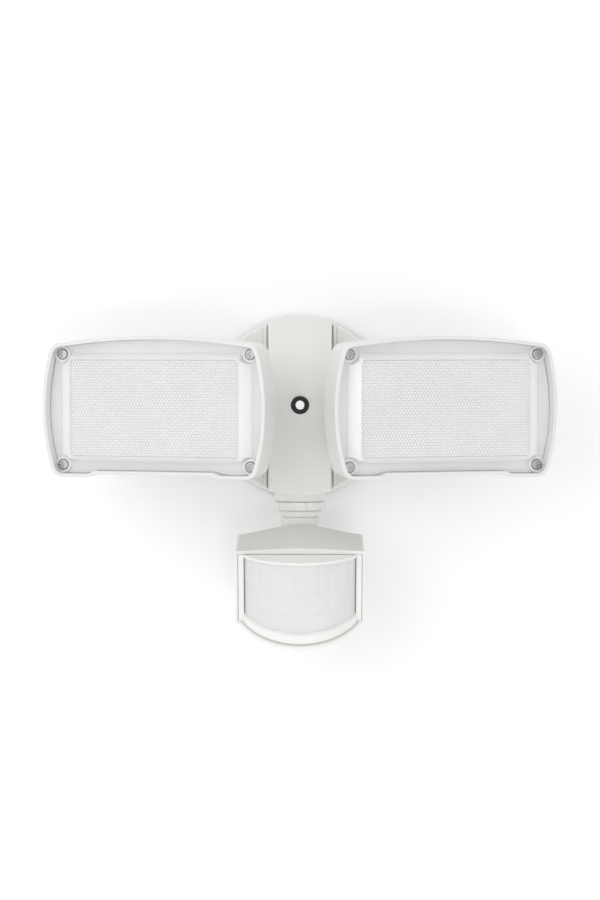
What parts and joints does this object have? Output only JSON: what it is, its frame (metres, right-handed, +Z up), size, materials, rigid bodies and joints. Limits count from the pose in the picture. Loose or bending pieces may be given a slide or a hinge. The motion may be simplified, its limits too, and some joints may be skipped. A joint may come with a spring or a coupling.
{
  "type": "security floodlight",
  "caption": "Wall-mounted security floodlight: round canopy, twin rectangular LED heads on swivel arms, and a hooded motion sensor that pans and tilts below.",
  "frame": {"origin": "centre of the wall face, in the plane where the gasket and the crossbar's back meet the wall, midway between the two box-screw slots", "axes": "+Y points into the wall and -Y to the front, +Z is up, +X is to the right seen from the front"},
  "size_m": [0.3344, 0.1272, 0.223],
  "materials": {
    "white_plastic": "satin",
    "white_paint": "satin powder coat",
    "clear_plastic": "clear polycarbonate with prism texture",
    "lens_plastic": "milky translucent polyethylene",
    "frame_plastic": "satin",
    "black_rubber": "matt",
    "light_silicone": "translucent silicone",
    "grey_foam": "closed-cell foam",
    "zinc_steel": "zinc plated",
    "steel_screw": "plated",
    "white_head": "white painted head",
    "green_screw": "green passivated",
    "board": "solder mask",
    "white_board": "white solder mask on aluminium",
    "led": "phosphor",
    "reflector_white": "white reflector",
    "grey_plastic": "matt",
    "bracket_paint": "powder coat",
    "metal_can": "nickel plated",
    "photo_cell": "resin",
    "dark_dial": "matt"
  },
  "bodies": {
    "base": {"canopy": "white_plastic", "wall_gasket": "grey_foam", "crossbar": "zinc_steel", "mount_bolt": "white_head", "bolt_seal": "black_rubber", "ground_screw": "green_screw", "driver_case": "grey_plastic", "driver_board": "board", "driver_screws": "steel_screw", "terminal_block": "frame_plastic", "terminal_screws": "steel_screw"},
    "neck_clamp": {"neck_clamp_nut": "white_plastic"},
    "neck_body": {"neck": "white_plastic", "neck_retainer": "zinc_steel", "neck_seal": "black_rubber"},
    "sensor": {"sensor_shell": "white_plastic", "sensor_frame": "frame_plastic", "sensor_lens": "lens_plastic", "sensor_board": "board", "sensor_board_screws": "steel_screw", "pir_element": "metal_can", "photocell": "photo_cell", "frame_screws": "steel_screw", "tilt_bolt": "steel_screw", "tilt_nut": "steel_screw"},
    "dial_time_body": {"dial_time": "dark_dial"},
    "dial_range_body": {"dial_range": "dark_dial"},
    "dial_dusk_body": {"dial_dusk": "dark_dial"},
    "arm_l_body": {"arm_l": "bracket_paint", "arm_retainer_l": "zinc_steel", "arm_seal_l": "black_rubber"},
    "arm_clamp_l": {"arm_clamp_nut_l": "white_plastic"},
    "head_l": {"housing_l": "white_paint", "cover_l": "clear_plastic", "cover_gasket_l": "light_silicone", "cover_screws_l": "steel_screw", "reflector_l": "reflector_white", "led_board_l": "white_board", "led_chips_l": "led", "board_screws_l": "steel_screw", "bracket_l": "bracket_paint", "bracket_screws_l": "steel_screw", "pan_bolt_l": "steel_screw", "pan_nut_l": "steel_screw"},
    "arm_r_body": {"arm_r": "bracket_paint", "arm_retainer_r": "zinc_steel", "arm_seal_r": "black_rubber"},
    "arm_clamp_r": {"arm_clamp_nut_r": "white_plastic"},
    "head_r": {"housing_r": "white_paint", "cover_r": "clear_plastic", "cover_gasket_r": "light_silicone", "cover_screws_r": "steel_screw", "reflector_r": "reflector_white", "led_board_r": "white_board", "led_chips_r": "led", "board_screws_r": "steel_screw", "bracket_r": "bracket_paint", "bracket_screws_r": "steel_screw", "pan_bolt_r": "steel_screw", "pan_nut_r": "steel_screw"}
  },
  "joints": [
    {"name": "head_tilt_l", "type": "hinge", "parent": "base", "child": "arm_l_body", "pos_m": [0, -0.0345, -0.0004], "axis": [1, 0, 0], "range_deg": [-30, 18]},
    {"name": "head_pan_l", "type": "hinge", "parent": "arm_l_body", "child": "head_l", "pos_m": [-0.08258, -0.05549, -0.00168], "axis": [0, -0.061, 0.9981], "range_deg": [-30, 12]},
    {"name": "arm_clamp_turn_l", "type": "hinge", "parent": "base", "child": "arm_clamp_l", "pos_m": [0, -0.0345, -0.0004], "axis": [1, 0, 0], "range_deg": [-45, 45]},
    {"name": "head_tilt_r", "type": "hinge", "parent": "base", "child": "arm_r_body", "pos_m": [0, -0.0345, -0.0004], "axis": [1, 0, 0], "range_deg": [-30, 18]},
    {"name": "head_pan_r", "type": "hinge", "parent": "arm_r_body", "child": "head_r", "pos_m": [0.08258, -0.05549, -0.00168], "axis": [0, -0.061, 0.9981], "range_deg": [-12, 30]},
    {"name": "arm_clamp_turn_r", "type": "hinge", "parent": "base", "child": "arm_clamp_r", "pos_m": [0, -0.0345, -0.0004], "axis": [1, 0, 0], "range_deg": [-45, 45]},
    {"name": "neck_clamp_turn", "type": "hinge", "parent": "base", "child": "neck_clamp", "pos_m": [0, -0.035, -0.068], "axis": [0, 0, 1], "range_deg": [-45, 45]},
    {"name": "sensor_pan", "type": "hinge", "parent": "base", "child": "neck_body", "pos_m": [0, -0.035, -0.07], "axis": [0, 0, 1], "range_deg": [-40, 40]},
    {"name": "sensor_tilt", "type": "hinge", "parent": "neck_body", "child": "sensor", "pos_m": [0, -0.035, -0.095], "axis": [1, 0, 0], "range_deg": [-12, 30]},
    {"name": "dial_time_turn", "type": "hinge", "parent": "sensor", "child": "dial_time_body", "pos_m": [-0.017, -0.05745, -0.13365], "axis": [0, -0.497, 0.8678], "range_deg": [-135, 135]},
    {"name": "dial_range_turn", "type": "hinge", "parent": "sensor", "child": "dial_range_body", "pos_m": [0, -0.05745, -0.13365], "axis": [0, -0.497, 0.8678], "range_deg": [-135, 135]},
    {"name": "dial_dusk_turn", "type": "hinge", "parent": "sensor", "child": "dial_dusk_body", "pos_m": [0.017, -0.05745, -0.13365], "axis": [0, -0.497, 0.8678], "range_deg": [-135, 135]}
  ]
}
